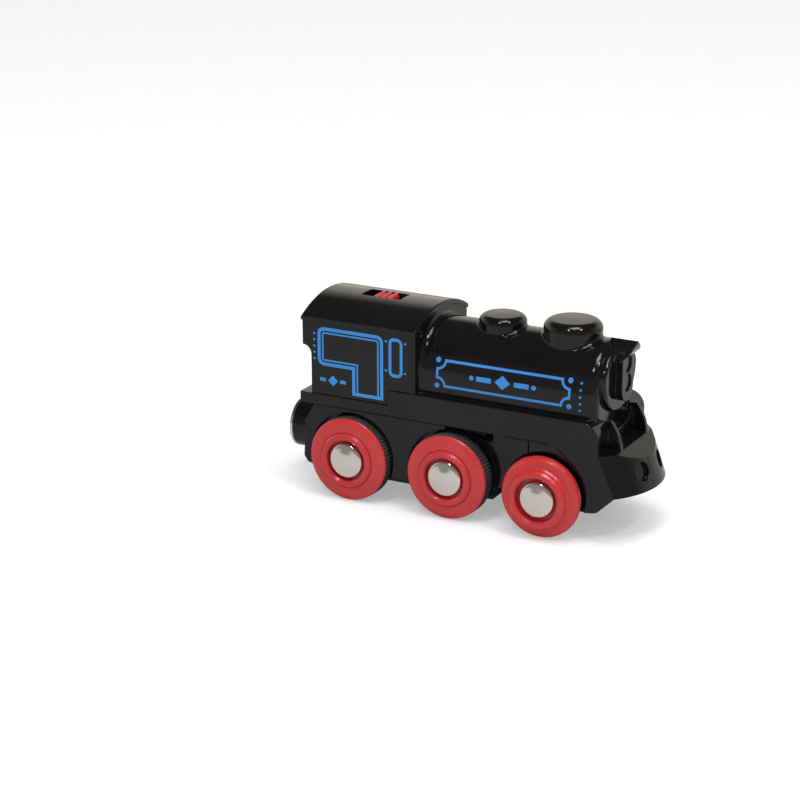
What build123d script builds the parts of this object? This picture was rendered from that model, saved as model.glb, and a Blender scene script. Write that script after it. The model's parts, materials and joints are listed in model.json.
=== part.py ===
from build123d import *
import os
from math import acos, atan2, cos, hypot, pi, radians, sin, sqrt, tan

# Battery locomotive for wooden railway track, as separate pieces.
# Millimetres. +X is the front of the engine, +Y its left side and +Z up.
# The origin is on the rail plane, on the centre line, at half the engine's length.

os.makedirs("parts", exist_ok=True)

# ---------------------------------------------------------------- driving dimensions
# running gear
WHEEL_R = 9.9
FRONT_WHEEL_R = 9.4
AXLE_Z = WHEEL_R
REAR_X, MIDDLE_X, FRONT_X = -24.9, 0.4, 23.65
AXLE_R = 1.25
RUN_GAP = 0.05
WHEEL_IN_Y = 11.7
DRIVEN_FACE_Y = 16.0
DRIVEN_RING_Y = 17.0
FRONT_FACE_Y = 16.4
FRONT_RING_Y = 18.4
FRONT_RIM_IN_Y = 13.6
TYRE_OUT_Y = 14.75
RIM_R = 8.4
TYRE_RIBS = 76
WELL_R = 10.7
ARCH_R = 9.8

# body shell
SIDE_Y = 13.35
CAB_Y = 13.0
SEAM_Z = 21.4
REAR_DECK_Z = 23.9
DECK_Z = 27.5
STEP_X = -15.4
DECK_REAR_X = -38.45
DECK_FRONT_X = 36.2
CAB_REAR_X = -35.55
CAB_HEAD_X = -37.8
CAB_FRONT_X = -8.65
CAB_TOP_Z = 41.2
NOTCH_TOP_Z = 35.3
BOILER_R = 11.2
BOILER_Z = 31.6
BOILER_FRONT_X = 34.5
WALL = 1.7
FLOOR_Z = 20.2
PILOT_BASE_Z = 11.1
PILOT_BASE_X, PILOT_TIP_X, PILOT_TOP_X = 40.3, 45.6, 42.5

# roof
ROOF_Y = 13.4
ROOF_EAVE_Z = 42.2
ROOF_CREST_Z = 45.8
GABLE_CREST_Z = 44.6
GABLE_THICK = 1.6
SLOT_REAR_X, SLOT_FRONT_X, SLOT_Y = -28.1, -18.0, 2.6
KNOB_X = -23.05

# chassis
CORE_Y = 11.2
CORE_IN_Y = 9.6
CHASSIS_TOP_Z = 21.3
CHASSIS_BASE_Z = 5.7

# coupler
COUPLER_Z = 11.3
COUPLER_R = 5.85
COUPLER_FACE_X = -46.2

# gears
MODULE = 0.5
PRESSURE = radians(25)
ADDENDUM = 0.4
DEDENDUM = 0.55
FLANK_GAP = 0.07
AXLE_TEETH, TRANSFER_TEETH, WHEEL_TEETH, PINION_TEETH = 16, 40, 36, 10
LAYER_1 = (-8.7, -7.4)
LAYER_2 = (-7.1, -5.8)
LAYER_3 = (-5.5, -4.2)
OUTER_CHEEK = (-9.6, -8.9)
INNER_CHEEK = (-3.9, -3.2)
PIN_R = 1.0
HUB_R = 1.8


# ---------------------------------------------------------------- helpers
def save(piece, name):
    """Label a finished piece and write it."""
    piece.label = name
    export_step(piece, f"parts/{name}.step")


def pitch_radius(teeth):
    """Pitch radius of a gear."""
    return MODULE * teeth / 2


def meshed_angle(centre, teeth, angle, mate_centre, mate_teeth):
    """Angle of the mate's first tooth when a gear with a tooth at angle meshes with it."""
    line = atan2(mate_centre[1] - centre[1], mate_centre[0] - centre[0])
    share = (line - angle) * teeth / (2 * pi)
    return line + pi - (0.5 - share) * 2 * pi / mate_teeth


def gear_face(centre, teeth, angle, y_high):
    """Involute gear outline in the plane y = y_high, facing -Y, first tooth at angle."""
    radius = pitch_radius(teeth)
    base_r = radius * cos(PRESSURE)
    root_r = radius - DEDENDUM
    tip_r = radius + ADDENDUM
    half_tooth = (pi * MODULE / 2 - FLANK_GAP) / (2 * radius)
    half_at_base = half_tooth + tan(PRESSURE) - PRESSURE
    flank_steps = 4
    start_r = max(base_r, root_r)
    flank = []
    if root_r < base_r:
        flank.append((root_r, half_at_base))
    for step in range(flank_steps + 1):
        r = start_r + (tip_r - start_r) * step / flank_steps
        roll = acos(base_r / r)
        flank.append((r, half_at_base - (tan(roll) - roll)))
    points = []
    for tooth in range(teeth):
        middle = angle + 2 * pi * tooth / teeth
        for r, half in flank:
            points.append((centre[0] + r * cos(middle - half), centre[1] + r * sin(middle - half)))
        for r, half in reversed(flank):
            points.append((centre[0] + r * cos(middle + half), centre[1] + r * sin(middle + half)))
    with BuildSketch(Plane.XZ.offset(-y_high)) as face:
        with BuildLine():
            Polyline(*points, close=True)
        make_face()
    return face.sketch


def disc_face(centre, radius, y_high):
    """Circle about a gear or axle centre in the plane y = y_high, facing -Y."""
    with BuildSketch(Plane.XZ.offset(-y_high)) as face:
        with Locations(centre):
            Circle(radius)
    return face.sketch


def outline_face(points, y_high):
    """Straight-sided outline in the plane y = y_high, facing -Y."""
    with BuildSketch(Plane.XZ.offset(-y_high)) as face:
        with BuildLine():
            Polyline(*points, close=True)
        make_face()
    return face.sketch


def arched_face(x, half_width, z_low, z_crest):
    """Segment of a circle standing on z_low in the plane at x, facing +X."""
    with BuildSketch(Plane.YZ.offset(x)) as face:
        with BuildLine():
            ThreePointArc((-half_width, z_low), (0, z_crest), (half_width, z_low))
            Line((half_width, z_low), (-half_width, z_low))
        make_face()
    return face.sketch


def slab(x_low, x_high, y_low, y_high, z_low, z_high, mode=Mode.ADD):
    """Box given by its limits."""
    middle = ((x_low + x_high) / 2, (y_low + y_high) / 2, (z_low + z_high) / 2)
    with Locations(middle):
        Box(x_high - x_low, y_high - y_low, z_high - z_low, mode=mode)


def turned(profile, centre, side):
    """Solid turned about a cross axle: profile is (radius, distance from the centre line)."""
    hub = Plane((centre[0], 0, centre[1]))
    with BuildPart() as solid:
        with BuildSketch(hub):
            with BuildLine():
                Polyline(*[(r, side * y) for r, y in profile], close=True)
            make_face()
        revolve(axis=Axis((centre[0], 0, centre[1]), (0, 1, 0)))
    return solid.part


# ---------------------------------------------------------------- gear centres (x, z)
MIDDLE = (MIDDLE_X, AXLE_Z)
REAR = (REAR_X, AXLE_Z)
FRONT = (FRONT_X, FRONT_WHEEL_R)
transfer_reach = pitch_radius(AXLE_TEETH) + pitch_radius(TRANSFER_TEETH)
half_base = (MIDDLE_X - REAR_X) / 2
TRANSFER = ((MIDDLE_X + REAR_X) / 2, AXLE_Z + sqrt(transfer_reach**2 - half_base**2))
second_reach = pitch_radius(TRANSFER_TEETH) + pitch_radius(PINION_TEETH)
SECOND_ANGLE = radians(70)
SECOND = (
    TRANSFER[0] + second_reach * cos(SECOND_ANGLE),
    TRANSFER[1] + second_reach * sin(SECOND_ANGLE),
)
MOTOR = (4.4, 16.6)
wheel_reach = pitch_radius(WHEEL_TEETH) + pitch_radius(PINION_TEETH)
gap_x, gap_z = MOTOR[0] - SECOND[0], MOTOR[1] - SECOND[1]
gap = hypot(gap_x, gap_z)
rise = sqrt(wheel_reach**2 - gap**2 / 4) / gap
FIRST = (
    (SECOND[0] + MOTOR[0]) / 2 - gap_z * rise,
    (SECOND[1] + MOTOR[1]) / 2 + gap_x * rise,
)

# tooth angles, worked out from the middle axle's gear through the train
MIDDLE_ANGLE = 0.0
TRANSFER_ANGLE = meshed_angle(MIDDLE, AXLE_TEETH, MIDDLE_ANGLE, TRANSFER, TRANSFER_TEETH)
REAR_ANGLE = meshed_angle(TRANSFER, TRANSFER_TEETH, TRANSFER_ANGLE, REAR, AXLE_TEETH)
SECOND_PINION_ANGLE = meshed_angle(
    TRANSFER, TRANSFER_TEETH, TRANSFER_ANGLE, SECOND, PINION_TEETH
)
SECOND_WHEEL_ANGLE = 0.0
FIRST_PINION_ANGLE = meshed_angle(
    SECOND, WHEEL_TEETH, SECOND_WHEEL_ANGLE, FIRST, PINION_TEETH
)
FIRST_WHEEL_ANGLE = 0.0
MOTOR_ANGLE = meshed_angle(FIRST, WHEEL_TEETH, FIRST_WHEEL_ANGLE, MOTOR, PINION_TEETH)


# ---------------------------------------------------------------- body shell
SKIRT_BASE_Z = 6.7
ARCH_END = (30.7, 16.5)
SEAM_BEND = (27.4, 20.0)
SEAM_TURN_X = 22.9
SHELL_ARCH_R = 10.0
SHELF_DROP = 0.6
SHELF_X = 39.4
FIN_Y = 7.3
FIN_THICK = 1.0
LAMP_Y = 3.15
LAMP_X = 37.3
HOOD_TIP = (39.45, 42.9)
DOMES = ((6.85, 5.45, 45.4, 1.7), (24.0, 6.65, 46.6, 2.1))
DOME_TAPER = 0.35
DOME_FOOT_R = 0.7
JOINT_R = 1.2
STEP_GROOVE = 0.3
BOSS_X, BOSS_Y, BOSS_R = (-31.5, 17.5), (9.0, 9.4), 2.0
BOARD_X = (-33.7, -22.2)
BOARD_Z = 25.2
BOARD_TOP_Z = 26.0
BOARD_SCREW = (-24.6, 9.0)
BOARD_SCREW_Y = (-BOARD_SCREW[1], BOARD_SCREW[1])
THREAD_R = 0.8

with BuildPart() as body_shell:
    # deck and skirt, one outline across the full width
    with BuildSketch(Plane.XZ.offset(-SIDE_Y)):
        with BuildLine():
            Polyline(
                (DECK_REAR_X, SEAM_Z),
                (DECK_REAR_X, REAR_DECK_Z),
                (STEP_X, REAR_DECK_Z),
                (STEP_X, DECK_Z),
                (DECK_FRONT_X - 3.8, DECK_Z),
            )
            RadiusArc((DECK_FRONT_X - 3.8, DECK_Z), (DECK_FRONT_X, DECK_Z - 3.8), 3.8)
            Polyline(
                (DECK_FRONT_X, DECK_Z - 3.8),
                (DECK_FRONT_X, FLOOR_Z + 0.1),
                (PILOT_BASE_X, PILOT_BASE_Z),
                (36.35, 7.3),
                (35.45, 7.0),
                (33.0, SKIRT_BASE_Z),
                (FRONT_X, SKIRT_BASE_Z),
                (FRONT_X, SEAM_Z),
                (DECK_REAR_X, SEAM_Z),
            )
        make_face()
    extrude(amount=2 * SIDE_Y)
    # pilot: ruled between a top and a bottom bow
    with BuildSketch(Plane.XY.offset(PILOT_BASE_Z)):
        with BuildLine():
            ThreePointArc((PILOT_BASE_X, -SIDE_Y), (PILOT_TIP_X, 0), (PILOT_BASE_X, SIDE_Y))
            Polyline(
                (PILOT_BASE_X, SIDE_Y), (33, SIDE_Y), (33, -SIDE_Y), (PILOT_BASE_X, -SIDE_Y)
            )
        make_face()
    with BuildSketch(Plane.XY.offset(FLOOR_Z + 0.1)):
        with BuildLine():
            ThreePointArc((DECK_FRONT_X, -SIDE_Y), (PILOT_TOP_X, 0), (DECK_FRONT_X, SIDE_Y))
            Polyline(
                (DECK_FRONT_X, SIDE_Y), (33, SIDE_Y), (33, -SIDE_Y), (DECK_FRONT_X, -SIDE_Y)
            )
        make_face()
    loft(ruled=True)
    # sloping shelf in front of the floor, and the open space under the pilot
    extrude(
        outline_face(
            (
                (SHELF_X, FLOOR_Z),
                (46, FLOOR_Z - SHELF_DROP * (46 - SHELF_X)),
                (46, FLOOR_Z + 1),
                (DECK_FRONT_X, FLOOR_Z + 1),
                (DECK_FRONT_X, FLOOR_Z),
            ),
            SIDE_Y + 1,
        ),
        amount=2 * SIDE_Y + 2,
        mode=Mode.SUBTRACT,
    )
    # cab walls, with the hollow notch under the overhanging rear
    notch_r = CAB_REAR_X - CAB_HEAD_X
    notch_low_z = NOTCH_TOP_Z - notch_r
    with BuildSketch(Plane.XZ.offset(-CAB_Y)):
        with BuildLine():
            Polyline(
                (CAB_FRONT_X, SEAM_Z + 1),
                (CAB_FRONT_X, CAB_TOP_Z),
                (CAB_HEAD_X, CAB_TOP_Z),
                (CAB_HEAD_X, NOTCH_TOP_Z),
            )
            RadiusArc((CAB_HEAD_X, NOTCH_TOP_Z), (CAB_REAR_X, notch_low_z), notch_r)
            Polyline((CAB_REAR_X, notch_low_z), (CAB_REAR_X, SEAM_Z + 1), (CAB_FRONT_X, SEAM_Z + 1))
        make_face()
    extrude(amount=2 * CAB_Y)
    # arched tops of the cab's end walls
    for gable_x in (CAB_HEAD_X, CAB_FRONT_X - GABLE_THICK):
        extrude(arched_face(gable_x, CAB_Y, CAB_TOP_Z, GABLE_CREST_Z), amount=GABLE_THICK)
    # boiler
    with BuildSketch(Plane.YZ.offset(CAB_FRONT_X)):
        with BuildLine():
            Line((-BOILER_R, SEAM_Z + 1), (-BOILER_R, BOILER_Z))
            ThreePointArc(
                (-BOILER_R, BOILER_Z), (0, BOILER_Z + BOILER_R), (BOILER_R, BOILER_Z)
            )
            Polyline((BOILER_R, BOILER_Z), (BOILER_R, SEAM_Z + 1), (-BOILER_R, SEAM_Z + 1))
        make_face()
    extrude(amount=BOILER_FRONT_X - CAB_FRONT_X)
    front_rim = body_shell.edges().filter_by_position(
        Axis.X, BOILER_FRONT_X - 0.01, BOILER_FRONT_X + 0.01
    )
    fillet(front_rim.filter_by_position(Axis.Z, BOILER_Z - 3, 50), 2.0)
    joint_edges = body_shell.edges().filter_by_position(
        Axis.X, CAB_FRONT_X - 0.01, CAB_FRONT_X + 0.01
    )
    joint_edges = joint_edges.filter_by_position(Axis.Y, -BOILER_R - 0.01, BOILER_R + 0.01)
    fillet(joint_edges.filter_by_position(Axis.Z, DECK_Z + 0.5, BOILER_Z + BOILER_R), JOINT_R)
    # valley in the deck's front, scooped down towards the smokebox
    with BuildSketch(Plane.YZ.offset(BOILER_FRONT_X)):
        with Locations((0, 33.1)):
            Circle(9.9)
    extrude(amount=3, mode=Mode.SUBTRACT)
    # domes
    for dome_x, dome_r, dome_top, round_r in DOMES:
        with BuildSketch(Plane.XZ):
            with BuildLine():
                Line((dome_x, BOILER_Z + 5), (dome_x, dome_top))
                Line((dome_x, dome_top), (dome_x + dome_r - round_r, dome_top - 0.15))
                RadiusArc(
                    (dome_x + dome_r - round_r, dome_top - 0.15),
                    (dome_x + dome_r, dome_top - 0.15 - round_r),
                    round_r,
                )
                Polyline(
                    (dome_x + dome_r, dome_top - 0.15 - round_r),
                    (dome_x + dome_r - DOME_TAPER, BOILER_Z + 5),
                    (dome_x, BOILER_Z + 5),
                )
            make_face()
        revolve(axis=Axis((dome_x, 0, 0), (0, 0, 1)))
        foot_edges = [
            edge
            for edge in body_shell.edges()
            if abs(edge.center(CenterOf.BOUNDING_BOX).X - dome_x) < 0.2
            and edge.bounding_box().size.X > 1.8 * (dome_r - DOME_TAPER)
            and edge.bounding_box().min.Z < BOILER_Z + BOILER_R - 0.5
            and edge.bounding_box().max.Z > BOILER_Z + BOILER_R - 1
        ]
        fillet(foot_edges, DOME_FOOT_R)
    # smokebox door, kept inside the boiler's outline
    with BuildSketch(Plane.YZ.offset(BOILER_FRONT_X - 1)):
        with Locations((0, 36)):
            Circle(9.2)
        with Locations((0, BOILER_Z)):
            Circle(BOILER_R - 0.7, mode=Mode.INTERSECT)
    extrude(amount=2.2)
    door_rim = body_shell.edges().filter_by_position(
        Axis.X, BOILER_FRONT_X + 1.19, BOILER_FRONT_X + 1.21
    )
    fillet(door_rim, 0.8)
    # lamp box with a round foot
    with BuildSketch(Plane.YZ.offset(BOILER_FRONT_X - 1)):
        with Locations((0, 29.4 + LAMP_Y)):
            Circle(LAMP_Y)
        with Locations((0, 37.0)):
            Rectangle(2 * LAMP_Y, 8.9)
    extrude(amount=LAMP_X - BOILER_FRONT_X + 1)
    # peaked hood over the lamps, its underside swept up to the tip
    with BuildSketch(Plane.YZ.offset(33.1)):
        with BuildLine():
            Polyline((-5.0, 39.5), (0, 43.4), (5.0, 39.5), close=True)
        make_face()
    extrude(amount=HOOD_TIP[0] - 33.1)
    with BuildSketch(Plane.XZ.offset(-8)):
        with BuildLine():
            Line((LAMP_X, 39.6), (LAMP_X, 37))
            Polyline((LAMP_X, 37), (45, 37), (45, 44), (HOOD_TIP[0], HOOD_TIP[1]))
            ThreePointArc((HOOD_TIP[0], HOOD_TIP[1]), (38.7, 40.9), (LAMP_X, 39.6))
        make_face()
    extrude(amount=16, mode=Mode.SUBTRACT)
    # fins standing on the floor, one at each side of the valley
    with BuildSketch(Plane.XZ.offset(-FIN_Y - FIN_THICK / 2)) as fin_outline:
        with BuildLine():
            Polyline((SHELF_X, FLOOR_Z - 0.1), (35.0, FLOOR_Z - 0.1), (35.0, 26.4), (36.7, 26.9))
            ThreePointArc((36.7, 26.9), (38.55, 23.9), (SHELF_X, FLOOR_Z - 0.1))
        make_face()
    extrude(amount=FIN_THICK)
    extrude(fin_outline.sketch.moved(Location((0, -2 * FIN_Y, 0))), amount=FIN_THICK)
    # round recesses in the lamp face and in the pilot
    with BuildSketch(Plane.YZ.offset(LAMP_X - 0.4)):
        with Locations((0, 38.0)):
            Circle(2.1)
        with Locations((0, 33.6)):
            Circle(2.1)
    extrude(amount=3, mode=Mode.SUBTRACT)
    for side in (-1, 1):
        with BuildSketch(
            Plane((42.65, side * 4.6, 15.1), x_dir=(0, 1, 0), z_dir=(0.91, side * 0.26, 0.32))
        ):
            Circle(2.2)
        extrude(amount=4, mode=Mode.SUBTRACT)
    # wheel arch and the seam over the front wheel
    with BuildSketch(Plane.XZ.offset(-SIDE_Y - 1)):
        with BuildLine():
            Line((10, SEAM_Z), (SEAM_TURN_X, SEAM_Z))
            ThreePointArc((SEAM_TURN_X, SEAM_Z), SEAM_BEND, ARCH_END)
            Polyline(ARCH_END, FRONT, (10, FRONT_WHEEL_R), (10, SEAM_Z))
        make_face()
        with Locations(FRONT):
            Circle(SHELL_ARCH_R)
    extrude(amount=2 * SIDE_Y + 2, mode=Mode.SUBTRACT)
    # groove beside the deck's step
    for side in (-1, 1):
        y_in, y_out = sorted((side * (CAB_Y - STEP_GROOVE), side * (CAB_Y + STEP_GROOVE)))
        slab(STEP_X - STEP_GROOVE, STEP_X, y_in, y_out, REAR_DECK_Z, DECK_Z, Mode.SUBTRACT)
    # hollows: cab, boiler, deck, front wheel space
    slab(CAB_REAR_X + WALL, CAB_FRONT_X - WALL, -11.2, 11.2, 20, 45, Mode.SUBTRACT)
    inner_r = BOILER_R - 1.6
    with BuildSketch(Plane.YZ.offset(-12)):
        with BuildLine():
            Line((-inner_r, 20), (-inner_r, BOILER_Z))
            ThreePointArc((-inner_r, BOILER_Z), (0, BOILER_Z + inner_r), (inner_r, BOILER_Z))
            Polyline((inner_r, BOILER_Z), (inner_r, 20), (-inner_r, 20))
        make_face()
    extrude(amount=BOILER_FRONT_X - 1.6 + 12, mode=Mode.SUBTRACT)
    deck_in_y = SIDE_Y - 1.8
    slab(STEP_X + 1.6, DECK_FRONT_X - 1.8, -deck_in_y, deck_in_y, 20, DECK_Z - 1.6, Mode.SUBTRACT)
    slab(FRONT_X - 3, DECK_FRONT_X - 1.8, -deck_in_y, deck_in_y, 6, 21, Mode.SUBTRACT)
    slab(34, 46, -deck_in_y, deck_in_y, 6, PILOT_BASE_Z, Mode.SUBTRACT)
    # hollow behind the pilot
    with BuildSketch(Plane.XY.offset(PILOT_BASE_Z - 0.1)):
        with BuildLine():
            ThreePointArc((38.0, -deck_in_y), (42.4, 0), (38.0, deck_in_y))
            Polyline((38.0, deck_in_y), (34, deck_in_y), (34, -deck_in_y), (38.0, -deck_in_y))
        make_face()
    with BuildSketch(Plane.XY.offset(FLOOR_Z - 2.6)):
        with BuildLine():
            ThreePointArc((35.4, -deck_in_y), (41.2, 0), (35.4, deck_in_y))
            Polyline((35.4, deck_in_y), (34, deck_in_y), (34, -deck_in_y), (35.4, -deck_in_y))
        make_face()
    loft(ruled=True, mode=Mode.SUBTRACT)
    # charging port opening in the cab's rear wall
    slab(-39, CAB_REAR_X + WALL + 1, -4.1, 4.1, 25.7, 29.3, Mode.SUBTRACT)
    # ledges for the circuit board, and bosses for the body screws
    for side in (-1, 1):
        y_in, y_out = sorted((side * 7.6, side * 11.4))
        slab(BOARD_X[0] - 0.3, BOARD_X[1], y_in, y_out, BOARD_Z - 1.2, BOARD_Z)
    with Locations((BOSS_X[0], BOSS_Y[0], 23.5), (BOSS_X[0], -BOSS_Y[0], 23.5)):
        Cylinder(BOSS_R, 3.4)
    with Locations((BOSS_X[1], BOSS_Y[1], 23.9), (BOSS_X[1], -BOSS_Y[1], 23.9)):
        Cylinder(BOSS_R, 5.0)
    with Locations((BOSS_X[0], BOSS_Y[0], 23.0), (BOSS_X[0], -BOSS_Y[0], 23.0)):
        Cylinder(THREAD_R, 4.0, mode=Mode.SUBTRACT)
    with Locations((BOSS_X[1], BOSS_Y[1], 23.4), (BOSS_X[1], -BOSS_Y[1], 23.4)):
        Cylinder(THREAD_R, 4.4, mode=Mode.SUBTRACT)
    with Locations(*[(BOARD_SCREW[0], y, 24.6) for y in BOARD_SCREW_Y]):
        Cylinder(0.7, 2.0, mode=Mode.SUBTRACT)

save(body_shell.part, "body_shell")

# ---------------------------------------------------------------- cab roof
ROOF_LIP = 0.2
ROOF_GAP = 0.1
ROOF_IN_Y = 10.6
EAR_X = (-30.9, -14.9)
EAR_BOSS_R = 1.7
SWITCH_TOP_Z = 41.0

with BuildPart() as cab_roof:
    with BuildSketch(Plane.YZ.offset(CAB_HEAD_X - ROOF_LIP)):
        with BuildLine():
            Polyline((-ROOF_Y, ROOF_EAVE_Z), (-ROOF_Y, CAB_TOP_Z), (ROOF_Y, CAB_TOP_Z))
            Line((ROOF_Y, CAB_TOP_Z), (ROOF_Y, ROOF_EAVE_Z))
            ThreePointArc((ROOF_Y, ROOF_EAVE_Z), (0, ROOF_CREST_Z), (-ROOF_Y, ROOF_EAVE_Z))
        make_face()
    extrude(amount=CAB_FRONT_X - CAB_HEAD_X + 2 * ROOF_LIP)
    fillet(cab_roof.edges().filter_by(GeomType.CIRCLE), 0.35)
    # open ends that sit over the cab's end walls
    for end_x in (CAB_HEAD_X - ROOF_LIP, CAB_FRONT_X - GABLE_THICK - ROOF_GAP):
        extrude(
            arched_face(end_x, CAB_Y + ROOF_GAP, CAB_TOP_Z, GABLE_CREST_Z + ROOF_GAP),
            amount=GABLE_THICK + ROOF_LIP + ROOF_GAP,
            mode=Mode.SUBTRACT,
        )
    # hollow underneath
    with BuildSketch(Plane.YZ.offset(-33.2)):
        with BuildLine():
            Polyline((-ROOF_IN_Y, 41.4), (-ROOF_IN_Y, 41.0), (ROOF_IN_Y, 41.0), (ROOF_IN_Y, 41.4))
            ThreePointArc((ROOF_IN_Y, 41.4), (0, ROOF_CREST_Z - 1.6), (-ROOF_IN_Y, 41.4))
        make_face()
    extrude(amount=22.3, mode=Mode.SUBTRACT)
    # locating rim that drops inside the cab walls
    slab(-33.75, -10.45, -11.1, 11.1, 40.2, 41.4)
    slab(-32.75, -11.45, -10.1, 10.1, 40.0, 41.6, Mode.SUBTRACT)
    # bosses that the slide switch is screwed to
    for ear_x in EAR_X:
        with BuildSketch(Plane.XY.offset(SWITCH_TOP_Z)):
            with Locations((ear_x, 0)):
                Circle(EAR_BOSS_R)
        extrude(amount=ROOF_CREST_Z - 1.2 - SWITCH_TOP_Z)
        with BuildSketch(Plane.XY.offset(SWITCH_TOP_Z)):
            with Locations((ear_x, 0)):
                Circle(0.7)
        extrude(amount=2.8, mode=Mode.SUBTRACT)
    # slot for the knob
    slab(SLOT_REAR_X, SLOT_FRONT_X, -SLOT_Y, SLOT_Y, 43, 47, Mode.SUBTRACT)

save(cab_roof.part, "cab_roof")

# ---------------------------------------------------------------- slide switch
KNOB_LONG = 4.5
KNOB_WIDE = 4.8
KNOB_TOP_Z = 44.95
RIB_PITCH = 1.65
GUARD_HALF = 4.0
GUARD_Z = (43.1, 43.8)
LEVER_HALF = 1.0
TRAVEL = 2.0

with BuildPart() as switch_knob:
    slab(KNOB_X - GUARD_HALF, KNOB_X + GUARD_HALF, -3.6, 3.6, *GUARD_Z)
    slab(
        KNOB_X - KNOB_LONG / 2, KNOB_X + KNOB_LONG / 2, -KNOB_WIDE / 2, KNOB_WIDE / 2,
        GUARD_Z[1], KNOB_TOP_Z,
    )
    # grip ribs across the top
    with BuildSketch(Plane.XZ.offset(-KNOB_WIDE / 2)):
        with Locations((KNOB_X, KNOB_TOP_Z)):
            with GridLocations(RIB_PITCH, 1, 3, 1):
                Ellipse(0.55, 0.85)
    extrude(amount=KNOB_WIDE)
    # socket for the switch lever
    slab(KNOB_X - LEVER_HALF, KNOB_X + LEVER_HALF, -0.9, 0.9, 43.0, 44.6, Mode.SUBTRACT)

save(switch_knob.part, "switch_knob")

with BuildPart() as switch_lever:
    slab(KNOB_X - LEVER_HALF, KNOB_X + LEVER_HALF, -0.9, 0.9, 39.4, 44.6)

save(switch_lever.part, "switch_lever")

switch_mid_x = (EAR_X[0] + EAR_X[1]) / 2
with BuildPart() as switch_body:
    slab(switch_mid_x - 4.3, switch_mid_x + 4.3, -2.2, 2.2, 36.9, SWITCH_TOP_Z)
    slab(EAR_X[0] - 1.7, EAR_X[1] + 1.7, -2.2, 2.2, SWITCH_TOP_Z - 0.5, SWITCH_TOP_Z)
    lever_room = LEVER_HALF + TRAVEL + 0.2
    slab(KNOB_X - lever_room, KNOB_X + lever_room, -1.1, 1.1, 39.2, SWITCH_TOP_Z, Mode.SUBTRACT)
    with Locations((EAR_X[0], 0, 40.75), (EAR_X[1], 0, 40.75)):
        Cylinder(0.7, 1, mode=Mode.SUBTRACT)
    # solder legs
    with Locations((switch_mid_x, 0, 36.2)):
        with GridLocations(2.0, 2.4, 3, 2):
            Box(0.3, 0.6, 1.6)

save(switch_body.part, "switch_body")


def screw(top, length, head_r, shank_r, up):
    """Round-headed screw on a vertical axis: top is the head's seat, up the shank's way."""
    x, y, z = top
    with BuildPart() as piece:
        with BuildSketch(Plane((x, y, z), z_dir=(0, 0, up))):
            Circle(shank_r)
        extrude(amount=length)
        with BuildSketch(Plane((x, y, z), z_dir=(0, 0, -up))):
            Circle(head_r)
        extrude(amount=0.9)
        fillet(piece.edges().sort_by(Axis.Z)[0 if up > 0 else -1], 0.35)
        with BuildSketch(Plane((x, y, z - up * 0.95), z_dir=(0, 0, up))):
            Rectangle(head_r * 1.1, head_r * 0.3)
            Rectangle(head_r * 0.3, head_r * 1.1)
        extrude(amount=0.5, mode=Mode.SUBTRACT)
    return piece.part


small_screws = Compound(
    [screw((x, 0, SWITCH_TOP_Z - 0.5), 2.6, 1.3, 0.7, 1) for x in EAR_X]
    + [screw((BOARD_SCREW[0], y, BOARD_TOP_Z), 2.6, 1.3, 0.7, -1) for y in BOARD_SCREW_Y]
)
save(small_screws, "small_screws")

# ---------------------------------------------------------------- chassis frame
BUSH_R = 2.2
SADDLE_Y = (3.5, 5.5)
MOTOR_R = 5.0
COVER_SCREW_X = (-32.6, 7.7)
NECK_Y, NECK_X, NECK_Z = 4.0, -36.7, (8.0, 15.0)
CARRIER_X = (19.75, 27.55)
BACKING_R = 9.4
SCREW_SEAT_Z = (19.3, 20.2)

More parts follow.
